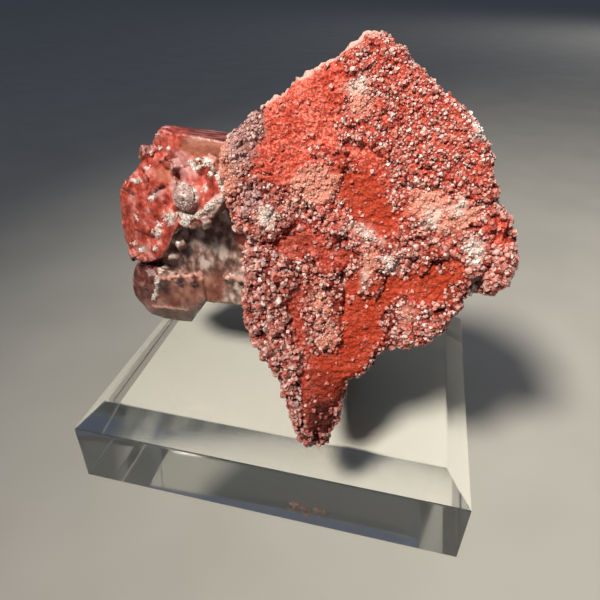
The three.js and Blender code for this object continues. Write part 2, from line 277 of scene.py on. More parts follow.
def softbox(name, place, aim, size, spread, power, colour):
    data = bpy.data.lights.new(name, "AREA")
    data.shape = "DISK"
    data.spread = math.radians(spread)
    data.size = size * mm
    data.energy = power
    data.color = linearColour(colour)[:3]
    light = bpy.data.objects.new(name, data)
    light.location = Vector(place) * mm
    light.rotation_euler = (Vector(aim) - Vector(place)).to_track_quat("-Z", "Y").to_euler()
    # the lamp itself isn't seen through the block
    light.visible_transmission = False
    bpy.context.scene.collection.objects.link(light)


def floorMaterial(values):
    # matt painted board: even and pale, with a barely seen mottle, and a painted pool of light under the block, for
    # the light the clear block gathers onto it
    material, tree, place = newMaterial("mattPaleBoard")
    mottle = addNode(tree, "ShaderNodeTexNoise", {"Vector": place, "Scale": 25.0})
    tone = addNode(tree, "ShaderNodeValToRGB", {"Fac": mottle.outputs["Fac"]},
                   stops=list(zip((0.3, 0.7), values["floorTones"])))
    parts = addNode(tree, "ShaderNodeSeparateXYZ", {"Vector": place})
    inside = []
    for axis, half in zip("XY", values["paintedLightHalf"]):
        away = addNode(tree, "ShaderNodeMath", {0: parts.outputs[axis]}, operation="ABSOLUTE")
        inside.append(addNode(tree, "ShaderNodeMath", {0: away.outputs[0], 1: half * mm}, operation="LESS_THAN"))
    paintedLightPatch = addNode(tree, "ShaderNodeMath", {0: inside[0].outputs[0], 1: inside[1].outputs[0]}, operation="MULTIPLY")
    # painted light: the lighter tone under the block
    mixed = addNode(tree, "ShaderNodeMix", {
        0: paintedLightPatch.outputs[0], 6: tone.outputs["Color"], 7: linearColour(values["paintedLightUnderBlock"])}, data_type="RGBA")
    shader = addNode(tree, "ShaderNodeBsdfPrincipled", {"Base Color": mixed.outputs[2], "Roughness": 0.85})
    addNode(tree, "ShaderNodeOutputMaterial", {"Surface": shader.outputs["BSDF"]})
    return material


def makeStudio(values):
    half = values["floorHalf"]
    low = -values["floorDrop"]
    corners = [(-half, -half, low), (half, -half, low), (half, half, low), (-half, half, low)]
    floor = meshPiece("floor", corners, [(0, 1, 2, 3)], floorMaterial(values))
    for name, settings in values["softboxes"].items():
        softbox(name, *settings)
    world = bpy.data.worlds.new("studio")
    world.use_nodes = True
    sky = world.node_tree.nodes["Background"]
    sky.inputs["Color"].default_value = linearColour(values["skyColour"])
    sky.inputs["Strength"].default_value = values["skyStrength"]
    bpy.context.scene.world = world


makeStudio(studio)
print("camera and studio ready")


# display block: clear cast acrylic, with polished sides, a milled bevel and a sawn underside

acrylic = {
    "edgeRound": 0.28,
    "edgeSteps": 2,
    "ior": 1.49,
    "absorption": 11,
    # roughness of each kind of face, where it is clean and where it is smeared
    "finishes": {
        "polishedCastAcrylic": (0.0, 0.03),
        "milledCastAcrylic": (0.13, 0.18),
        "sawnCastAcrylic": (0.05, 0.08)},
}


def acrylicMaterial(name, smears, values):
    # cast acrylic: clear as glass, as dull as its faces were cut, with faint smears
    material, tree, place = newMaterial(name)
    smear = addNode(tree, "ShaderNodeTexNoise", {"Vector": place, "Scale": 60.0, "Detail": 4.0})
    gloss = addNode(tree, "ShaderNodeMapRange", {
        "Value": smear.outputs["Fac"], "From Min": 0.64, "From Max": 0.8,
        "To Min": smears[0], "To Max": smears[1]})
    shader = addNode(tree, "ShaderNodeBsdfPrincipled", {
        "Base Color": linearColour("#fbfcfb"), "Roughness": gloss.outputs["Result"],
        "IOR": values["ior"], "Transmission Weight": 1.0})
    depth = addNode(tree, "ShaderNodeVolumeAbsorption", {"Color": linearColour("#eef0ec"),
                                                         "Density": values["absorption"]})
    addNode(tree, "ShaderNodeOutputMaterial", {"Surface": shader.outputs["BSDF"], "Volume": depth.outputs["Volume"]})
    return material


def makeBlock(values):
    block = mergedCopy("display_block", "acrylic_block")
    work = bmesh.new()
    work.from_mesh(block.data)
    bmesh.ops.dissolve_limit(work, angle_limit=math.radians(1), verts=work.verts, edges=work.edges)
    bmesh.ops.bevel(work, geom=work.edges[:], offset=values["edgeRound"] * mm,
                    segments=values["edgeSteps"], profile=0.5, affect="EDGES")
    work.to_mesh(block.data)
    work.free()
    for name, smears in values["finishes"].items():
        block.data.materials.append(acrylicMaterial(name, smears, values))
    for polygon in block.data.polygons:
        milled, sawn = 0.4 < polygon.normal.z < 0.95, polygon.normal.z < -0.9
        polygon.material_index = 1 if milled else 2 if sawn else 0
    # light passes the clear block straight to the floor, as it does through the real one
    block.visible_shadow = False
    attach(block, "root")
    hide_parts("display_block")


makeBlock(acrylic)
print("acrylic block made")


# matrix: the plate's own axes are across, up and out of its face, from its lowest tip

plate = {
    "tip": (12.5, -35.8, 24.3),
    "lean": 14,
    "centre": (4, 50),
    "spacing": 0.31,
    "edgeSpacing": 0.42,
    "edgeRough": 0.4,
    "rim": 0.99,
    "roll": 1.3,
    "rollWidth": 1.7,
    "shake": 0.22,
    "seed": 7,
    "outline": [
        (5, 89), (2, 88.4), (-1, 86), (-3, 84.2), (-5, 83.4), (-7.5, 81.6), (-10, 80.6),
        (-12.5, 78), (-15, 76.6), (-18, 74), (-20, 71.6), (-22, 70.2), (-25.4, 65.6),
        (-25.2, 62), (-24, 59.4), (-24.2, 56.4), (-22, 53), (-21, 50.2), (-19, 48),
        (-18.2, 45), (-18.8, 42.6), (-17.6, 40), (-18.6, 35.4), (-17.8, 33), (-18.8, 31),
        (-17, 28), (-16.4, 25.6), (-14.6, 24), (-13.2, 21.4), (-11, 20), (-10.2, 17.2),
        (-8.4, 15), (-8, 12.6), (-6.2, 9.4), (-5, 6.6), (-4.4, 4), (-3.2, 0.8), (-1.2, 0),
        (1.4, 0), (3, 1.2), (4, 5), (5, 9), (4.8, 13), (5.6, 17), (6.6, 19.4), (8.6, 20.8),
        (10.6, 23), (11.8, 26.2), (14.4, 28.2), (16.2, 29.6), (18.4, 29.4), (22, 30.6),
        (23.4, 33), (25, 35.4), (26.8, 38.4), (27.8, 42), (28.4, 46), (30.2, 46.6),
        (31, 43.2), (33.4, 43.8), (35, 46), (36, 49.4), (35, 52.4), (34.6, 55.6),
        (33, 58.6), (30.6, 61), (29.2, 65), (27.6, 69), (26.4, 71.6), (25, 74),
        (23.4, 75.8), (20.8, 77.8), (18.4, 79.2), (15.8, 81.2), (13.2, 83), (10, 85.6),
        (7.6, 87.6)],
    # the sides, front to back: depth behind the face and size
    "rings": [(0.5, 0.996), (1.2, 1.0), (2.0, 0.997), (2.9, 0.99), (3.8, 0.978), (4.8, 0.962), (5.8, 0.944)],
    # hollows: across, up, half width, half height and depth, which is below 0 for a lump
    "hollows": [
        (0.3, 2.6, 1.5, 2.2, 2.2), (-19, 49, 1.4, 2, 3), (-10.5, 27.5, 2.6, 0.9, 2),
        (33.2, 55, 0.9, 2.4, 2.5), (29.4, 45, 1.5, 2.6, 3.2), (24.3, 73.4, 1.2, 1.5, -1.3),
        (16.4, 66.2, 1.9, 0.5, 1.3), (13.4, 62.6, 1.7, 0.5, 1.2), (20.2, 48.7, 0.9, 0.7, 1.4),
        (22.4, 38.7, 2.2, 0.4, 1.3), (-2.2, 54.4, 0.5, 1.4, 1.2), (-9.8, 50.6, 2.2, 0.6, 1.5),
        (3.4, 36.6, 0.5, 3.4, 1.2), (-14.8, 62.2, 1.4, 0.4, 0.9), (8.6, 40.2, 1.8, 0.4, 1.4),
        (-11.5, 22.5, 1.2, 0.8, 1.4), (-8.4, 18.8, 0.9, 0.9, 1.3), (11.6, 43.5, 0.5, 1.6, 1.2)],
}

# raised crusts of small crystals on the face: rise and outline
crusts = [
    (1.3, [(5, 89), (0, 84), (3, 80), (1, 76), (2, 70), (8, 68), (14, 63), (21, 64), (27, 61),
           (30, 63), (27, 70), (22, 76), (12, 83)]),
    (1.6, [(-9, 61), (-8, 64), (-4, 66), (-6, 68), (0, 69.5), (2, 66), (0, 64), (0, 60), (-1, 55),
           (-5, 57)]),
    (1.8, [(-20, 52), (-18, 56), (-12, 57), (-9, 54), (-10, 50), (-18, 49)]),
    (1.7, [(0, 57), (5, 55), (10, 51.5), (13, 56), (17, 61), (25, 61), (30, 57), (31, 50), (28, 44),
           (25.5, 50.5), (21, 50), (18, 46), (15, 50), (12, 46), (10, 40), (6, 40), (8, 45), (6, 48.5),
           (2, 52), (-2, 53)]),
    (1.9, [(-19, 47), (-13, 47), (-9, 45), (-7, 42), (-8, 38), (-9, 34), (-7, 30), (-5, 26),
           (-4.5, 21), (-6, 15), (-4, 9), (-3, 2), (-8, 10), (-13, 20), (-18, 28), (-18, 38)]),
    (1.5, [(-5, 44), (1, 45), (3, 41), (3, 35), (4, 29), (0, 27), (-2, 31), (-4, 35), (-5, 40)]),
    (1.5, [(12, 30), (14, 35), (15, 39), (20, 40), (25, 38), (24, 34), (20, 31), (16, 29)]),
    (2.0, [(31, 44), (31.5, 50), (33, 54), (35.5, 51), (35, 46)]),
]

# where the face is bare red rock, and where its druse is tinted
redHollow = [(-10, 52), (-6, 53), (-2, 50), (0, 47), (5, 49), (2, 45), (-2, 45), (-4, 47), (-9, 46), (-12, 48)]
redFlute = [(-8, 38), (-4, 41), (-5, 35), (-5, 30), (-3, 25), (-6, 26), (-7, 31), (-9, 35)]
faceZones = {
    "bare": [
        [(-16, 75), (-12, 79), (-5, 82), (-1, 84), (0, 80), (-1, 75), (-3, 71), (0, 68), (5, 70),
         (8, 67), (8, 65), (3, 66), (0, 64), (-4, 66), (-8, 64), (-10, 60), (-14, 61), (-17, 63),
         (-18, 67), (-15, 70), (-15.5, 73)],
        [(1, 64), (5, 65), (8, 63), (10, 58), (13, 55), (12, 52), (9, 52), (5, 55), (3, 58), (0, 60)],
        redHollow,
        [(8, 48), (9, 44), (12, 43), (15, 44), (20, 48), (23, 46), (24, 42), (20, 40), (15, 41),
         (12, 38), (11, 34), (13, 31), (12, 28), (10, 25), (7, 20), (5, 16), (4, 10), (3, 5), (0, 3),
         (-2, 8), (-3, 14), (-4, 20), (-2, 24), (3, 26), (4, 30), (3, 33), (3, 38), (4, 42), (6, 45)],
        [(22, 50), (27, 50), (27, 46), (24, 45)],
        [(28, 57), (32, 58), (33, 54), (30, 53)],
        redFlute],
    # darker red rock in the red hollow and flute, and painted shade on the tip and along the lower left, where the
    # face turns from the light
    "darkRedAndShade": [
        redHollow,
        [(-15.5, 62), (-13, 61), (-9, 60), (-10, 55), (-14, 57), (-14.5, 58)],
        redFlute,
        [(-4, 21), (6, 20), (5, 9), (4, 1), (-1, 0), (-3, 8)],
        [(-20, 46), (-15, 44), (-14, 32), (-9, 24), (-5, 16), (-3, 0), (-8, 8), (-20, 28)]],
    "orange": [
        [(0, 66), (8, 64), (14, 56), (12, 51), (4, 53), (-1, 59)],
        [(3, 50), (12, 46), (24, 51), (28, 46), (25, 41), (15, 40), (13, 27), (6, 14), (-1, 14), (-3, 24), (3, 28),
         (2, 38)]],
    # painted shade: the tip's right side, turned from the light, its foot, and the notch under the right lobe
    "maroonShade": [
        [(-1.5, 13), (5.5, 13), (5.5, 5), (4, -1), (-1.5, -1), (-2, 6)],
        [(-7, 5), (6, 5), (6, -5), (-7, -5)],
        [(27.5, 47), (31.5, 47), (32.5, 45.4), (36, 45.4), (36, 40), (27.5, 40)]],
    "peach": [
        [(1, 79), (4, 79), (5, 76), (3, 74.5), (0.5, 75.5)],
        [(-9, 58), (-9, 63), (-4, 65), (0, 63), (0, 59), (-4, 57)],
        [(15, 39), (18, 39), (19, 36), (16, 34.5)],
        [(6.5, 50), (9.5, 50), (9.5, 45), (7.5, 44)],
        [(-4, 41), (0, 41), (1, 36), (-2, 34)],
        [(0, 33), (2.4, 33), (2.6, 28), (0.4, 26)],
        [(15, 63), (20, 63), (22, 60), (27, 60), (26, 55), (20, 55), (14, 58)],
        [(-26, 68), (-21, 68), (-20, 58), (-26, 56)]],
    "grey": [
        [(-23, 70), (-18, 75), (-16, 76), (-15.5, 70), (-18, 64), (-22, 62)],
        [(-20, 60), (-16, 60), (-15, 56), (-19, 54)]],
    "frost": [
        [(-16, 56), (-12, 56), (-12, 52), (-16, 52)],
        [(3, 55), (8, 54), (10, 51.5), (6, 51)],
        [(10.5, 49), (13.5, 49), (14, 46), (11, 45.5)],
        [(17, 59), (20.5, 59), (20, 55.5), (17.5, 55.5)],
        [(26, 55), (29, 54), (28.5, 49), (26.5, 49)],
        [(6, 46), (7.8, 45), (7.6, 41), (6.4, 41)],
        [(22, 60), (24, 61), (24, 58), (22, 58)],
        [(-1, 80), (3, 81), (3, 79), (-1, 78.5)],
        [(23.4, 75.4), (25.6, 75), (25.8, 72.2), (24, 72.4)]],
}

faceRelief = {
    "swell": 0.6,
    "crustShare": 0.65,
    "pebble": 0.65,
    "pitDepth": 1.1,
    "sand": 0.1,
    "barelyGrown": 0.07,
    "tipTwist": 0.42,
}

leanTurn = math.radians(plate["lean"])
plateAxes = np.array([
    [1, 0, 0],
    [0, math.sin(leanTurn), math.cos(leanTurn)],
    [0, -math.cos(leanTurn), math.sin(leanTurn)]])


def toPlate(places):
    return (places - np.array(plate["tip"])) @ plateAxes.T


def fromPlate(local):
    return local @ plateAxes + np.array(plate["tip"])


def swells(x, y, z):
    # broad swells where the solid has them
    broad = np.sin(1.7 * x + 0.6 * y + 1.1) * np.cos(1.3 * y - 0.8 * z + 0.4)
    middle = np.sin(2.9 * y + 1.1 * z + 2.3) * np.cos(2.3 * x - 1.9 * z)
    fine = np.sin(5.3 * x - 3.1 * z + 0.7) * np.cos(4.7 * y + 2.2 * x)
    return 0.5 * broad + 0.3 * middle + 0.2 * fine


def faceValues(points):
    # relief and tints of the face at points across and up, in millimetres
    flat = np.column_stack([points, np.zeros(len(points))])
    slow = grain(flat, 4.2, 1)
    quick = grain(flat, 1.5, 2)
    wobble = 0.55 * slow + 0.5 * quick
    values = {"bare": zone(points, faceZones["bare"], 0.7, wobble + 0.35)}
    for name in ("darkRedAndShade", "orange", "maroonShade", "peach", "grey", "frost"):
        soft = 5 if name in ("darkRedAndShade", "orange", "maroonShade") else 2.2
        values[name] = zone(points, faceZones[name], soft, wobble)
    across, up = points[:, 0], points[:, 1]
    height = faceRelief["swell"] * swells(across / 13, up / 13, 0.3)
    # the tip's right side turns back
    height -= faceRelief["tipTwist"] * np.clip((20 - up) / 12, 0, 1) * np.maximum(0, across + 1.5)
    crust = np.zeros(len(points))
    for rise, outline in crusts:
        crust = np.maximum(crust, faceRelief["crustShare"] * rise * zone(points, [outline], 0.5, wobble))
    values["bare"] *= 1 - np.clip(crust, 0, 1) * 0.5
    # red rock shows in specks through thin druse, mostly at the upper right
    thin = smooth(0.5 + (up - 0.35 * across - 52) / 26) * smooth(0.5 + (across + 4) / 8)
    specks = smooth((0.45 * grain(flat, 1.9, 12) + 0.4 * grain(flat, 0.9, 13) - 0.18) * 6) * (0.35 + 0.65 * thin)
    values["bare"] = np.maximum(values["bare"], 0.85 * specks * (1 - values["frost"]))
    druse = 1 - values["bare"]
    values["frost"] *= 0.35 + 0.65 * druse
    height += crust
    # cobbled druse, with painted shade in the gaps, and finer sandy ripples on the bare rock
    lower = smooth((58 - up - 0.5 * across) / 16)
    cobbles, pebbles = cells(flat, 2.6, 3), cells(flat, 1.3, 4)
    height += druse * ((0.75 + 0.55 * lower) * cobbles + faceRelief["pebble"] * pebbles - 0.2)
    gaps = np.clip(0.75 * smooth((0.36 - cobbles) / 0.3) + 0.5 * smooth((0.3 - pebbles) / 0.3), 0, 1)
    gaps *= druse * (1 - 0.9 * thin) * (1 - 0.6 * values["peach"]) * (1 - 0.6 * values["frost"])
    # small pits between the druse's lumps, darkened with painted shade
    pits = 0.6 * grain(flat, 2.1, 14) + 0.4 * grain(flat, 1.0, 15) - 0.37 + 0.2 * lower
    pits = smooth(pits * 5) * druse * (1 - 0.7 * thin) * (1 - 0.6 * values["peach"])
    height -= faceRelief["pitDepth"] * pits
    # painted shade in the pits and in the gaps between lumps, stronger towards the lower part of the face
    values["maroonShade"] = np.maximum.reduce([values["maroonShade"], 0.75 * pits, (0.45 + 0.4 * lower) * gaps])
    turned = np.column_stack([0.86 * across + 0.5 * up, 1.9 * (0.86 * up - 0.5 * across), np.zeros(len(points))])
    ripple = 0.2 * grain(turned, 2.1, 5) + 0.22 * grain(turned, 1.05, 6) + 0.1 * grain(flat, 0.55, 16)
    sand = faceRelief["sand"]
    height += values["bare"] * (ripple + np.random.default_rng(plate["seed"]).uniform(-sand, sand, len(points)))
    for x, y, halfWide, halfHigh, depth in plate["hollows"]:
        away = np.hypot((across - x) / halfWide, (up - y) / halfHigh)
        height -= depth * smooth(1.25 - away)
    values["height"] = height
    # few crystals grow in the gaps, and a few lone ones stand on the bare rock
    values["druse"] = np.maximum(druse * (1 - 0.75 * np.maximum(pits, 0.65 * gaps)), faceRelief["barelyGrown"])
    # they are coarser at the lower left and on the right lobe, and finer where they are thin or pale
    coarse = smooth(0.5 - (across + 0.12 * (up - 40) + 6) / 6) * smooth((60 - up) / 8) + smooth((across - 29) / 3)
    values["coarse"] = 0.93 + 0.22 * np.clip(coarse, 0, 1) - 0.22 * thin
    values["coarse"] *= (1 - 0.3 * values["peach"]) * (1 - 0.35 * values["frost"])
    # the plate's thin pale rim at the upper left: a pale crust rim, lit further with a painted highlight where the
    # light catches it
    edge = insideDistance(points, plate["outline"])
    upperLeft = smooth((up - 71) / 4) * smooth((7 - across) / 3)
    values["creamAndLitRim"] = upperLeft * smooth((0.7 + 0.4 * quick - edge) / 0.4)
    values["druse"] *= 1 - upperLeft * smooth((0.9 + 0.5 * quick - edge) / 0.4)
    return values


def denseOutline(values):
    # the outline at an even small spacing, with a broken, crystal-sized unevenness
    corners = np.array(values["outline"], float)
    corners = (corners - values["centre"]) * values["rim"] + values["centre"]
    steps = np.roll(corners, -1, axis=0) - corners
    lengths = np.hypot(steps[:, 0], steps[:, 1])
    dense = []
    for corner, step, length in zip(corners, steps, lengths):
        count = max(1, round(length / values["edgeSpacing"]))
        dense += [corner + step * i / count for i in range(count)]
    dense = np.array(dense)
    tangent = np.roll(dense, -1, axis=0) - np.roll(dense, 1, axis=0)
    outward = np.column_stack([tangent[:, 1], -tangent[:, 0]]) / np.hypot(tangent[:, 0], tangent[:, 1])[:, None]
    turning = np.sum(corners[:, 0] * np.roll(corners[:, 1], -1) - corners[:, 1] * np.roll(corners[:, 0], -1))
    outward *= np.sign(turning)
    flat = np.column_stack([dense, np.zeros(len(dense))])
    uneven = values["edgeRough"] * (grain(flat, 2.4, 8) + 0.6 * grain(flat, 1.1, 9))
    return dense + outward * uneven[:, None], outward


def makePlate(values, material):
    border, outward = denseOutline(values)
    random = np.random.default_rng(values["seed"])
    # a triangular grid inside the border, shaken a little
    step = values["spacing"]
    low, high = border.min(0), border.max(0)
    rows = np.arange(low[1], high[1], step * 0.866)
    inner = []
    for i, up in enumerate(rows):
        across = np.arange(low[0] + (i % 2) * step / 2, high[0], step)
        inner.append(np.column_stack([across, np.full(len(across), up)]))
    inner = np.vstack(inner)
    inner += random.uniform(-values["shake"], values["shake"], inner.shape) * step
    ring = [tuple(p) for p in border]
    inner = inner[insideDistance(inner, ring) > 0.6 * step]
    flat = np.vstack([border, inner])
    found = delaunay_2d_cdt([Vector(p) for p in flat], [], [list(range(len(border)))], 1, 1e-6)
    flat = np.array([tuple(p) for p in found[0]])
    cap = [list(face) for face in found[2]]
    front = faceValues(flat)
    rolled = values["roll"] * np.clip(1 - insideDistance(flat, ring) / values["rollWidth"], 0, 1) ** 2
    height = front["height"] - rolled
    points = [np.column_stack([flat, height])]
    # the cap's first points are the border, in order
    count = len(border)
    total = len(flat)
    previous = list(range(count))
    faces = cap
    base = height[:count]
    for depth, size in values["rings"]:
        ringFlat = (border - values["centre"]) * size / values["rim"] + values["centre"]
        solid = np.column_stack([ringFlat, np.full(count, depth)])
        uneven = 0.35 * grain(solid, 2.0, 10) + 0.25 * grain(solid, 0.9, 11)
        ringFlat = ringFlat + outward * uneven[:, None]
        blend = np.clip(depth / 3, 0, 1)
        deep = (base - depth) * (1 - blend) + (-depth) * blend
        points.append(np.column_stack([ringFlat, deep]))
        current = list(range(total, total + count))
        total += count
        for i in range(count):
            j = (i + 1) % count
            faces.append([previous[i], current[i], current[j], previous[j]])
        previous = current
    faces.append(previous[::-1])
    local = np.vstack(points)
    piece = meshPiece("matrix_plate", fromPlate(local), faces, material)
    work = bmesh.new()
    work.from_mesh(piece.data)
    bmesh.ops.recalc_face_normals(work, faces=work.faces)
    work.to_mesh(piece.data)
    work.free()
    # the sides show little bare rock
    side = faceValues(local[len(flat):, :2])
    side["bare"] *= 0.15
    storeValues(piece, {name: np.concatenate([front[name], side[name]]) for name in front if name != "height"})
    smoothFaces(piece)
    return piece


def rockMaterial():
    # hematite-stained calcareous rock: dull, finely granular, brick red where bare and
    # dusty pink between the crystals
    material, tree, place = newMaterial("hematiteStainedRock")
    fine = addNode(tree, "ShaderNodeTexNoise", {"Vector": place, "Scale": 2000.0, "Detail": 3.0})
    broad = addNode(tree, "ShaderNodeTexNoise", {"Vector": place, "Scale": 260.0, "Detail": 3.0})
    share = addNode(tree, "ShaderNodeMath", {0: broad.outputs["Fac"], 1: 0.3}, operation="MULTIPLY")
    grains = addNode(tree, "ShaderNodeMath", {0: fine.outputs["Fac"], 1: 0.7, 2: share.outputs[0]},
                     operation="MULTIPLY_ADD")
    bareColour = addNode(tree, "ShaderNodeValToRGB", {"Fac": grains.outputs[0]},
                         stops=[(0.4, "#b03a28"), (0.5, "#d35742"), (0.6, "#ec8a76")])
    druseColour = addNode(tree, "ShaderNodeValToRGB", {"Fac": grains.outputs[0]},
                          stops=[(0.38, "#7a2117"), (0.5, "#b14233"), (0.62, "#da7b6b")])
    tone = layTints(tree, druseColour.outputs["Color"], (
        ("bare", bareColour.outputs["Color"], 1.0), ("orange", "#a8330f", 0.75), ("peach", "#e8a08a", 0.7),
        # the darker red tint is darker rock in places and painted shade on the tip and the lower left
        # the near-black tint is painted shade
        ("grey", "#a8877f", 0.7), ("frost", "#efd8ca", 0.75), ("darkRedAndShade", "#6a2219", 0.5), ("maroonShade", "#2c0806", 0.85),
        # the pale rim tint is partly a painted highlight
        ("creamAndLitRim", "#e8c3b2", 0.8)))
    bump = addNode(tree, "ShaderNodeBump", {"Height": fine.outputs["Fac"], "Strength": 1.0, "Distance": 0.0006})
    shader = addNode(tree, "ShaderNodeBsdfPrincipled", {
        "Base Color": tone, "Roughness": 0.7, "Specular IOR Level": 0.2, "Normal": bump.outputs["Normal"]})
    addNode(tree, "ShaderNodeOutputMaterial", {"Surface": shader.outputs["BSDF"]})
    return material


rock = rockMaterial()
facePlate = makePlate(plate, rock)
print("plate made:", len(facePlate.data.vertices), "points")


# broken rock behind the plate, from the solid's own shape

rear = {
    "cell": 0.75,
    "behind": 3.6,
    "rough": ((5.5, 0.8), (2.2, 0.45), (1.0, 0.2)),
}


def makeRear(values, material):
    piece = mergedCopy("matrix", "matrix_back")
    remesh(piece, values["cell"])
    places = placesOf(piece)
    normals = normalsOf(piece)
    local = toPlate(places)
    # what would show in front of the plate's own face sinks behind it
    front = local[:, 2] > -values["behind"]
    inside = insideDistance(local[:, :2], plate["outline"])
    local[front & (inside > -3), 2] = -values["behind"]
    places = fromPlate(local)
    rough = layeredGrain(places, values["rough"], 20)
    behind = np.clip((-local[:, 2] - values["behind"]) / 2, 0, 1)
    above = np.clip((places[:, 2] - 24.6) / 1.5, 0, 1)
    movePoints(piece, places + normals * (rough * behind * above)[:, None])
    piece.data.materials.append(material)
    patches = smooth(0.5 + 1.4 * grain(places, 9, 31))
    storeValues(piece, {
        "bare": 1 - patches,
        "druse": patches,
        "orange": patches,
        "darkRedAndShade": 0.8 * smooth(0.4 + grain(places, 14, 33)),
        "peach": 0.7 * smooth(grain(places, 8, 35)),
        "grey": 0.7 * smooth(grain(places, 11, 37)),
        "frost": 0.8 * smooth(grain(places, 6, 39) - 0.2),
        "coarse": np.ones(len(places)),
    })
    smoothFaces(piece)
    return piece


backRock = makeRear(rear, rock)
print("rear rock made:", len(backRock.data.vertices), "points")


# druse: small calcite rhombs grown over the crusts, by Geometry Nodes

def crystalMaterial():
    # calcite rhombs dusted with hematite: glassy faces, pink to cream, each a little different
    material, tree, place = newMaterial("drusyCalcite")
    tint = addNode(tree, "ShaderNodeAttribute", attribute_name="tint")
    base = addNode(tree, "ShaderNodeValToRGB", {"Fac": tint.outputs["Fac"]},
                   stops=[(0.0, "#c26252"), (0.3, "#e09181"), (0.65, "#eeb3a5"), (0.92, "#f5cdc1"), (1.0, "#fbe6dc")])
    tone = layTints(tree, base.outputs["Color"], (
        ("bare", "#d9735f", 0.6), ("peach", "#f8b39b", 0.65), ("grey", "#ccaca6", 0.7), ("frost", "#fff0e4", 0.8),
        # the darker red tint brings the face's painted shade onto its crystals, partly darker rock
        # the near-black tint brings the painted shade of pits, gaps, tip and lobe onto the crystals
        ("darkRedAndShade", "#a3564b", 0.15), ("maroonShade", "#3a1210", 0.3)))
    # painted shade and red dust at the crystals' feet, darker the lower a point stands, and less of both where they
    # are pale
    standing = addNode(tree, "ShaderNodeAttribute", attribute_name="standing")
    gap = addNode(tree, "ShaderNodeMapRange", {
        "Value": standing.outputs["Fac"], "From Min": 0.0, "From Max": 0.45, "To Min": 0.7, "To Max": 0.0})
    frost = addNode(tree, "ShaderNodeAttribute", attribute_name="frost")
    peach = addNode(tree, "ShaderNodeAttribute", attribute_name="peach")
    pale = addNode(tree, "ShaderNodeMath", {0: frost.outputs["Fac"], 1: peach.outputs["Fac"]}, operation="MAXIMUM")
    lessOnPale = addNode(tree, "ShaderNodeMapRange", {"Value": pale.outputs[0], "To Min": 1.0, "To Max": 0.2})
    footShadeAndDust = addNode(tree, "ShaderNodeMath", {0: gap.outputs["Result"], 1: lessOnPale.outputs["Result"]},
                    operation="MULTIPLY")
    tone = addNode(tree, "ShaderNodeMix", {0: footShadeAndDust.outputs[0], 6: tone, 7: linearColour("#6c2018")},
                   data_type="RGBA").outputs[2]
    dust = addNode(tree, "ShaderNodeTexNoise", {"Vector": place, "Scale": 1500.0, "Detail": 2.0})
    gloss = addNode(tree, "ShaderNodeMapRange", {
        "Value": dust.outputs["Fac"], "From Min": 0.35, "From Max": 0.65, "To Min": 0.34, "To Max": 0.65})
    shader = addNode(tree, "ShaderNodeBsdfPrincipled", {
        "Base Color": tone, "Roughness": gloss.outputs["Result"], "IOR": 1.52, "Subsurface Weight": 0.75,
        "Subsurface Radius": (1.0, 0.45, 0.35), "Subsurface Scale": 0.0008})
    addNode(tree, "ShaderNodeOutputMaterial", {"Surface": shader.outputs["BSDF"]})
    return material


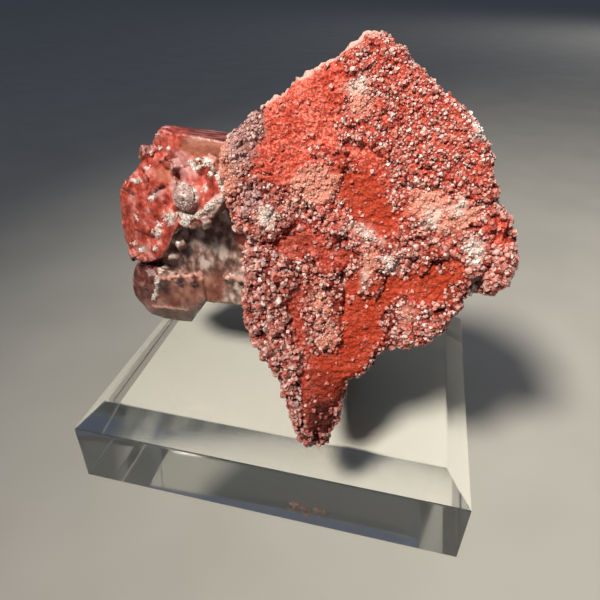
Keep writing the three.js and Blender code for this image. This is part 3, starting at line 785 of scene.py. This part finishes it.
def druseTree():
    tree = bpy.data.node_groups.new("druse", "GeometryNodeTree")
    sockets = {}
    for name, kind in (("Geometry", "Geometry"), ("Spacing", "Float"), ("Density", "Float"), ("Smallest", "Float"),
                       ("Largest", "Float"), ("Tilt", "Float"), ("Lift", "Float"), ("Seed", "Int"),
                       ("Material", "Material")):
        sockets[name] = tree.interface.new_socket(name, in_out="INPUT", socket_type="NodeSocket" + kind).identifier
    tree.interface.new_socket("Geometry", in_out="OUTPUT", socket_type="NodeSocketGeometry")
    given = addNode(tree, "NodeGroupInput").outputs
    share = addNode(tree, "GeometryNodeInputNamedAttribute", {"Name": "druse"}, data_type="FLOAT")
    points = addNode(tree, "GeometryNodeDistributePointsOnFaces", {
        "Mesh": given["Geometry"], "Distance Min": given["Spacing"], "Density Max": given["Density"],
        "Density Factor": share.outputs["Attribute"], "Seed": given["Seed"]}, distribute_method="POISSON")
    tint = addNode(tree, "FunctionNodeRandomValue", {2: 0.0, 3: 1.0, "Seed": given["Seed"]}, data_type="FLOAT")
    tinted = addNode(tree, "GeometryNodeStoreNamedAttribute", {
        "Geometry": points.outputs["Points"], "Name": "tint", "Value": tint.outputs[1]},
        data_type="FLOAT", domain="POINT")
    otherSeed = addNode(tree, "ShaderNodeMath", {0: given["Seed"], 1: 17.0}, operation="ADD")
    size = addNode(tree, "FunctionNodeRandomValue", {
        2: given["Smallest"], 3: given["Largest"], "Seed": otherSeed.outputs[0]}, data_type="FLOAT")
    coarse = addNode(tree, "GeometryNodeInputNamedAttribute", {"Name": "coarse"}, data_type="FLOAT")
    scaled = addNode(tree, "ShaderNodeMath", {0: size.outputs[1], 1: coarse.outputs["Attribute"]},
                     operation="MULTIPLY")
    thirdSeed = addNode(tree, "ShaderNodeMath", {0: given["Seed"], 1: 31.0}, operation="ADD")
    lowTilt = addNode(tree, "ShaderNodeMath", {0: given["Tilt"], 1: -1.0}, operation="MULTIPLY")
    least = addNode(tree, "ShaderNodeCombineXYZ", {"X": lowTilt.outputs[0], "Y": lowTilt.outputs[0], "Z": 0.0})
    most = addNode(tree, "ShaderNodeCombineXYZ", {"X": given["Tilt"], "Y": given["Tilt"], "Z": 6.283})
    turn = addNode(tree, "FunctionNodeRandomValue", {
        0: least.outputs[0], 1: most.outputs[0], "Seed": thirdSeed.outputs[0]}, data_type="FLOAT_VECTOR")
    spin = addNode(tree, "FunctionNodeEulerToRotation", {"Euler": turn.outputs[0]})
    stand = addNode(tree, "FunctionNodeRotateRotation", {
        "Rotation": points.outputs["Rotation"], "Rotate By": spin.outputs["Rotation"]}, rotation_space="LOCAL")
    cube = addNode(tree, "GeometryNodeMeshCube", {"Size": (1.0, 1.0, 1.0)})
    cornerUp = addNode(tree, "GeometryNodeTransform", {
        "Geometry": cube.outputs["Mesh"], "Rotation": (math.radians(45), math.radians(35.264), 0.0)})
    rhomb = addNode(tree, "GeometryNodeTransform", {
        "Geometry": cornerUp.outputs["Geometry"], "Scale": (1.0, 1.0, 0.8), "Translation": (0.0, 0.0, 0.1)})
    # how high each corner of a crystal stands, for the painted shade and dust in the gaps between them
    place = addNode(tree, "GeometryNodeInputPosition")
    parts = addNode(tree, "ShaderNodeSeparateXYZ", {"Vector": place.outputs["Position"]})
    marked = addNode(tree, "GeometryNodeStoreNamedAttribute", {
        "Geometry": rhomb.outputs["Geometry"], "Name": "standing", "Value": parts.outputs["Z"]},
        data_type="FLOAT", domain="POINT")
    grown = addNode(tree, "GeometryNodeInstanceOnPoints", {
        "Points": tinted.outputs["Geometry"], "Instance": marked.outputs["Geometry"],
        "Rotation": stand.outputs["Rotation"], "Scale": scaled.outputs[0]})
    rise = addNode(tree, "ShaderNodeCombineXYZ", {"X": 0.0, "Y": 0.0, "Z": given["Lift"]})
    lifted = addNode(tree, "GeometryNodeTranslateInstances", {
        "Instances": grown.outputs["Instances"], "Translation": rise.outputs[0]})
    real = addNode(tree, "GeometryNodeRealizeInstances", {"Geometry": lifted.outputs["Instances"]})
    made = addNode(tree, "GeometryNodeSetMaterial", {
        "Geometry": real.outputs["Geometry"], "Material": given["Material"]})
    addNode(tree, "NodeGroupOutput", {"Geometry": made.outputs["Geometry"]})
    return tree, sockets


druseGrowth, druseSockets = druseTree()
crystalFinish = crystalMaterial()


def growDruse(name, host, values):
    # crystals on a copy of the host's surface, baked to one plain mesh
    piece = bpy.data.objects.new(name, host.data.copy())
    bpy.context.scene.collection.objects.link(piece)
    modifier = piece.modifiers.new("druse", "NODES")
    modifier.node_group = druseGrowth
    for key, value in values.items():
        modifier[druseSockets[key]] = value
    modifier[druseSockets["Material"]] = crystalFinish
    bakeModifiers(piece)
    return piece


smallDruse = {"Spacing": 0.45 * mm, "Density": 6.4e6, "Smallest": 0.3 * mm, "Largest": 0.84 * mm, "Tilt": 0.9,
              "Lift": 0.03 * mm, "Seed": 3}
loneRhombs = {"Spacing": 1.7 * mm, "Density": 0.6e6, "Smallest": 0.7 * mm, "Largest": 1.15 * mm, "Tilt": 0.7,
              "Lift": 0.1 * mm, "Seed": 8}
backDruse = {"Spacing": 1.0 * mm, "Density": 0.9e6, "Smallest": 0.6 * mm, "Largest": 1.4 * mm, "Tilt": 0.9,
             "Lift": 0.0, "Seed": 5}

faceDruse = growDruse("face_druse", facePlate, smallDruse)
print("face druse:", len(faceDruse.data.polygons), "faces")
faceRhombs = growDruse("face_rhombs", facePlate, loneRhombs)
print("face rhombs:", len(faceRhombs.data.polygons), "faces")
rearDruse = growDruse("rear_druse", backRock, backDruse)
print("rear druse:", len(rearDruse.data.polygons), "faces")


# calcite cluster behind the plate's left edge, from the solid's own crystals

cluster = {
    "cell": 0.38,
    "rough": ((7.0, 0.14), (2.6, 0.07), (1.1, 0.04)),
    "crumbly": ((2.4, 0.26), (1.1, 0.16)),
    "facetSize": 4.2,
    "facetTilt": 0.55,
    # zones as the camera sees them, in points of its picture
    "zones": {
        "smoke": [[(171, 232), (184, 225), (201, 222), (225, 206), (233, 218), (235, 234), (243, 248),
                   (249, 306), (201, 307), (193, 324), (139, 324), (137, 302), (155, 297), (156, 268),
                   (160, 263), (171, 248)]],
        "rust": [[(157, 280), (201, 276), (225, 270), (225, 307), (193, 324), (137, 324), (137, 302)]],
        # painted shade: under the lowest ledge and on the lower crystal's left side, turned from the light
        "deep": [[(137, 299), (147, 306), (187, 310), (199, 302), (196, 326), (137, 326)],
                 [(131, 258), (152, 262), (155, 274), (151, 300), (137, 302)]],
        "coat": [[(176, 152), (212, 158), (227, 184), (212, 204), (196, 208), (186, 186)],
                 [(117, 188), (128, 168), (143, 157), (153, 146), (152, 134), (165, 126), (189, 130),
                  (185, 140), (179, 150), (171, 157), (174, 176), (178, 196), (175, 210), (181, 226),
                  (171, 240), (159, 265), (137, 258), (125, 254), (120, 222)]],
        "honey": [[(214, 150), (228, 158), (231, 172), (222, 176), (214, 164)],
                  [(182, 138), (219, 146), (214, 157), (191, 161), (179, 153)],
                  [(150, 168), (174, 167), (176, 180), (156, 181)],
                  [(214, 148), (233, 156), (235, 178), (223, 184), (215, 170)]],
        "pink": [[(174, 151), (191, 157), (198, 176), (185, 179), (178, 168)],
                 [(152.6, 191), (163.4, 190), (162, 198), (153, 197)]],
        "grey": [[(225, 280), (249, 280), (249, 304), (225, 303)], [(174, 232), (189, 230), (191, 240), (179, 243)],
                 [(138, 244), (148, 244), (147, 253), (139, 253)]],
        "creamAndLitRim": [[(200.6, 219), (204, 206), (223, 191), (226, 200), (215, 219.6)]],
    },
    "softness": {"smoke": 2, "rust": 12, "deep": 3, "coat": 7, "honey": 9, "pink": 7, "grey": 5, "creamAndLitRim": 1.5},
    # lines: half width, rise in millimetres and course
    "lines": {
        "crest": [(2.1, 0.3, [(190, 163.6), (199, 160), (209, 160.4), (214.6, 170), (223, 183), (225.8, 191),
                              (222, 198), (213, 203), (205, 210), (199, 215), (189, 217), (180, 214)])],
        "ledge": [(1.5, 0.25, [(157.4, 277), (165, 278.4), (175, 276.4), (189, 276), (201, 273.6)]),
                  (1.5, 0.3, [(225, 277.6), (235, 278), (247, 280.4)]),
                  (0.9, 0.15, [(153, 305.6), (165, 307.6), (187, 310)])],
        "seam": [(1.8, 0.3, [(158.2, 278), (157.4, 286), (154.2, 299)])],
        # cracks, darkened with painted shade
        "crackShade": [(1.3, -0.9, [(152.2, 196.4), (155.4, 190.4), (163, 186.8)]),
                  (0.9, -0.5, [(175.4, 180), (176.6, 190), (177, 203), (177.4, 211)]),
                  (0.8, -0.3, [(135, 230), (145, 234.4), (154.2, 238.4)]),
                  (1.1, -0.6, [(214, 171), (220, 175), (225, 176)]),
                  (0.9, -0.4, [(180, 218), (185, 230), (173, 238)]),
                  (2.4, -1.0, [(133, 262), (145, 266), (160, 264)]),
                  (0.7, -0.3, [(141, 170), (148, 178), (146, 190)]),
                  (0.9, -0.4, [(165, 158), (171, 162), (174, 170)])],
    },
    # white bruises: across, down, half width and half height
    "bruises": [(136, 180, 5.2, 2.4), (152, 198.4, 3, 3.6), (136.6, 218, 3, 4.4), (157.4, 229.6, 4.4, 8.4),
                (170.6, 218, 6.4, 6.8), (168.6, 147.6, 1.6, 2.4), (134.6, 243.4, 2.4, 2.4), (155, 248, 2.6, 3.2),
                (151, 153, 3.2, 2.4), (186, 222, 5.2, 5.6), (158, 134, 1.6, 2), (148, 168, 2.4, 1.6),
                (198, 166, 6.4, 4.4), (210, 174, 3.6, 5.6), (204, 188, 2.4, 3), (160, 148, 2.4, 2),
                (142, 250, 2, 2.6)],
    # the grey druse-covered ball: across, down, radius and rise
    "ball": (189, 196, 13.4, 2.0),
}


def pictureView(places, view):
    # where the camera sees each point, across and down its picture
    right, up = Vector(view["right"]).normalized(), Vector(view["up"]).normalized()
    away = places - np.array(view["place"])
    focal = view["lens"] / view["sensor"] * view["picture"] / -(away @ np.array(right.cross(up)))
    middle = view["picture"] / 2
    return np.column_stack([middle + focal * (away @ np.array(right)), middle - focal * (away @ np.array(up))])


def lineDistance(points, line):
    steps = [segmentDistance(points, start, end) for start, end in zip(line, line[1:])]
    return np.minimum.reduce(steps)


def facets(places, size, seed):
    # broken flat faces of about that size: their tilt, and a number from 0 to 1 for each face
    shift = Vector((seed * 5.1, seed * 9.7, seed * 2.9))
    tilt, own = np.zeros(len(places)), np.zeros(len(places))
    for i, place in enumerate(places):
        spot = Vector(place) / size + shift
        centre = noise.voronoi(spot)[1][0]
        tilt[i] = (spot - centre).dot(noise.noise_vector(centre * 3.7))
        own[i] = 0.5 + 0.8 * noise.noise(centre * 5.3)
    return tilt, np.clip(own, 0, 1)


def ridges(piece):
    # 1 along the sharp outer edges of a piece and 0 on its faces
    places, normals = placesOf(piece), normalsOf(piece)
    ends = np.zeros(len(piece.data.edges) * 2, np.int32)
    piece.data.edges.foreach_get("vertices", ends)
    first, last = ends[0::2], ends[1::2]
    both, other = np.concatenate([first, last]), np.concatenate([last, first])
    count = np.bincount(both, minlength=len(places))
    fall = np.sum((places[both] - places[other]) * normals[both], axis=1)
    mean = np.bincount(both, fall, len(places)) / count
    spread = np.bincount(both, mean[other], len(places)) / count
    return smooth((0.5 * mean + 0.5 * spread) / 0.07 - 0.3)


def coatMaterial():
    # iron-coated calcite: waxy to glassy, orange red over honey, with pale bruises, and pale sharp edges that are
    # partly worn and partly a painted highlight
    material, tree, place = newMaterial("ironCoatedCalcite")
    laid = addNode(tree, "ShaderNodeMapping", {"Vector": place, "Scale": (0.35, 1.0, 1.0)})
    broad = addNode(tree, "ShaderNodeTexNoise", {"Vector": laid.outputs["Vector"], "Scale": 420.0, "Detail": 5.0})
    fine = addNode(tree, "ShaderNodeTexNoise", {"Vector": place, "Scale": 900.0, "Detail": 3.0})
    body = addNode(tree, "ShaderNodeValToRGB", {"Fac": broad.outputs["Fac"]},
                   stops=[(0.36, "#531c14"), (0.5, "#8c3f31"), (0.62, "#cc8c7c")])
    mottle = addNode(tree, "ShaderNodeTexNoise", {"Vector": place, "Scale": 330.0, "Detail": 6.0, "Roughness": 0.65})
    coating = addNode(tree, "ShaderNodeValToRGB", {"Fac": mottle.outputs["Fac"]},
                      stops=[(0.36, "#7e281b"), (0.46, "#c04a37"), (0.55, "#e06c59"), (0.66, "#f6b5aa")])
    crumbs = addNode(tree, "ShaderNodeValToRGB", {"Fac": fine.outputs["Fac"]},
                     stops=[(0.38, "#8a5446"), (0.46, "#d8bcab"), (0.58, "#f6eee3")])
    tone = layTints(tree, body.outputs["Color"], (
        ("coat", coating.outputs["Color"], 1.0), ("honey", "#c98163", 0.62), ("pink", "#e8aaa4", 0.75),
        # the deepest brown tint is painted shade under the lowest ledge and on the side turned from the light
        ("facet", "#6a2419", 0.4), ("grey", "#b59a93", 0.75), ("deep", "#4a1c15", 0.55), ("creamAndLitRim", "#e2bfb0", 0.9),
        # the near-black tint in the cracks is painted shade
        ("edge", "#ecc9ba", 0.55), ("ledge", "#dd9f8e", 0.8), ("crackShade", "#220a07", 0.85),
        ("frost", crumbs.outputs["Color"], 0.95)))
    gloss = addNode(tree, "ShaderNodeMapRange", {
        "Value": fine.outputs["Fac"], "From Min": 0.35, "From Max": 0.65, "To Min": 0.22, "To Max": 0.5})
    bump = addNode(tree, "ShaderNodeBump", {"Height": mottle.outputs["Fac"], "Strength": 0.8, "Distance": 0.0006})
    shader = addNode(tree, "ShaderNodeBsdfPrincipled", {
        "Base Color": tone, "Roughness": gloss.outputs["Result"], "IOR": 1.6, "Normal": bump.outputs["Normal"]})
    addNode(tree, "ShaderNodeOutputMaterial", {"Surface": shader.outputs["BSDF"]})
    return material


def smokeMaterial():
    # smoky calcite: see-through brown, clouded by milky veils and stained with rust
    material, tree, place = newMaterial("smokyCalcite")
    laid = addNode(tree, "ShaderNodeMapping", {"Vector": place, "Scale": (1.0, 1.0, 0.8)})
    veil = addNode(tree, "ShaderNodeTexNoise", {"Vector": laid.outputs["Vector"], "Scale": 400.0, "Detail": 5.0})
    milk = addNode(tree, "ShaderNodeValToRGB", {"Fac": veil.outputs["Fac"]},
                   stops=[(0.38, "#755042"), (0.5, "#a07a6b"), (0.64, "#d6c2b4")])
    spots = addNode(tree, "ShaderNodeTexNoise", {"Vector": place, "Scale": 330.0, "Detail": 3.0})
    stain = addNode(tree, "ShaderNodeValToRGB", {"Fac": spots.outputs["Fac"]},
                    stops=[(0.4, "#7c3b29"), (0.52, "#98523e"), (0.66, "#c0836a")])
    tone = layTints(tree, milk.outputs["Color"], (
        # the deepest brown tint is painted shade under the lowest ledge and on the side turned from the light
        ("rust", stain.outputs["Color"], 0.75), ("deep", "#5a2c20", 0.55), ("ledge", "#e6a896", 0.9),
        # the near-black tint in the cracks is painted shade
        # the pale tint on sharp edges is partly a painted highlight
        ("edge", "#e2bfae", 0.5), ("crackShade", "#220a07", 0.8)))
    thin = addNode(tree, "ShaderNodeMapRange", {
        "Value": veil.outputs["Fac"], "From Min": 0.38, "From Max": 0.6, "To Min": 0.4, "To Max": 0.05})
    mask = addNode(tree, "ShaderNodeAttribute", attribute_name="clear")
    clear = addNode(tree, "ShaderNodeMath", {0: thin.outputs["Result"], 1: mask.outputs["Fac"]}, operation="MULTIPLY")
    shader = addNode(tree, "ShaderNodeBsdfPrincipled", {
        "Base Color": tone, "Roughness": 0.2, "IOR": 1.6, "Transmission Weight": clear.outputs[0]})
    addNode(tree, "ShaderNodeOutputMaterial", {"Surface": shader.outputs["BSDF"]})
    return material


def clusterTints(places, facing, values):
    # tints and relief, from the zones on what faces the camera
    seen = pictureView(places, cameraView)
    wobble = 1.8 * grain(places, 3.0, 60) + 1.6 * grain(places, 1.2, 61)
    tints = {name: zone(seen, outlines, values["softness"][name], wobble) * facing
             for name, outlines in values["zones"].items()}
    ragged = 0.55 * grain(places, 1.6, 63) + 0.45 * grain(places, 0.8, 64)
    relief = np.zeros(len(places))
    for name, courses in values["lines"].items():
        tints[name] = np.zeros(len(places))
        for half, rise, course in courses:
            near = smooth((1.4 - lineDistance(seen, course) / half + 1.3 * ragged) * 1.6) * facing
            tints[name] = np.maximum(tints[name], near)
            relief += rise * near
    frost = np.maximum(tints.pop("crest"), tints.pop("seam"))
    for across, down, halfWide, halfHigh in values["bruises"]:
        away = np.hypot((seen[:, 0] - across) / halfWide, (seen[:, 1] - down) / halfHigh)
        near = smooth((1.05 - away + 1.1 * ragged) * 2.2) * facing
        frost = np.maximum(frost, near)
    across, down, radius, rise = values["ball"]
    away = np.hypot(seen[:, 0] - across, seen[:, 1] - down) / radius
    dome = np.sqrt(np.clip(1 - away ** 2, 0, 1)) * facing
    relief += rise * dome
    ball = smooth((1.0 - away) * 5) * facing
    tints["grey"] = np.maximum(tints["grey"], ball)
    # pale fibres spread from the ball's middle
    turn = np.arctan2(seen[:, 1] - down, seen[:, 0] - across)
    fibres = grain(np.column_stack([np.cos(turn), np.sin(turn), 0.8 * away]), 0.22, 67)
    frost *= 1 - 0.8 * ball
    relief += 0.2 * frost
    tints["frost"] = frost + 0.85 * ball * smooth(0.3 + 1.8 * fibres)
    tints["clear"] = (1 - 0.7 * tints["rust"]) * (1 - tints["deep"]) * (1 - tints["ledge"])
    # where white crumbs grow, and their size
    patches = smooth(grain(places, 5, 62) * 1.6 - 0.5) * 0.3 * (1 - facing)
    tints["druse"] = np.clip(np.maximum.reduce([0.7 * tints["frost"], 0.5 * ball, patches]), 0, 1)
    tints["coarse"] = np.full(len(places), 0.8)
    return tints, relief


def makeCluster(values):
    piece = mergedCopy("calcite_crystals", "calcite_cluster")
    remesh(piece, values["cell"])
    places = placesOf(piece)
    normals = normalsOf(piece)
    # 1 on the front faces that the camera's place looks at, and 0 behind
    towards = np.array(cameraView["place"]) - places
    towards /= np.linalg.norm(towards, axis=1)[:, None]
    facing = smooth((np.sum(normals * towards, axis=1) + 0.1) / 0.2) * smooth((6 - places[:, 1]) / 3)
    tints, relief = clusterTints(places, facing, values)
    # pale sharp edges: a painted highlight, partly pale worn edges
    tints["edge"] = ridges(piece) * smooth(0.6 + grain(places, 2.2, 65))
    tilt, tints["facet"] = facets(places, values["facetSize"], 66)
    crumbly = layeredGrain(places, values["crumbly"], 70) + values["facetTilt"] * tilt
    crumbly *= np.clip(tints["coat"] + tints["pink"] + tints["grey"], 0, 1)
    rough = layeredGrain(places, values["rough"], 50) + relief + crumbly
    movePoints(piece, places + normals * rough[:, None])
    piece.data.materials.append(coatMaterial())
    piece.data.materials.append(smokeMaterial())
    smoky = tints.pop("smoke") * (1 - tints["frost"]) > 0.5
    for polygon in piece.data.polygons:
        polygon.material_index = int(all(smoky[i] for i in polygon.vertices))
    smoothFaces(piece)
    storeValues(piece, tints)
    return piece


calcite = makeCluster(cluster)
print("cluster made:", len(calcite.data.vertices), "points")

clusterGrains = {"Spacing": 0.4 * mm, "Density": 6.0e6, "Smallest": 0.25 * mm, "Largest": 0.6 * mm, "Tilt": 1.2,
                 "Lift": 0.0, "Seed": 11}
clusterDruse = growDruse("cluster_druse", calcite, clusterGrains)
print("cluster druse:", len(clusterDruse.data.polygons), "faces")

for slotName, pieces in (("red_druse", (facePlate, backRock, faceDruse, faceRhombs, rearDruse)),
                         ("red_calcite", (calcite, clusterDruse))):
    for piece in pieces:
        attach(piece, "root")
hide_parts("matrix")
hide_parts("calcite_crystals")
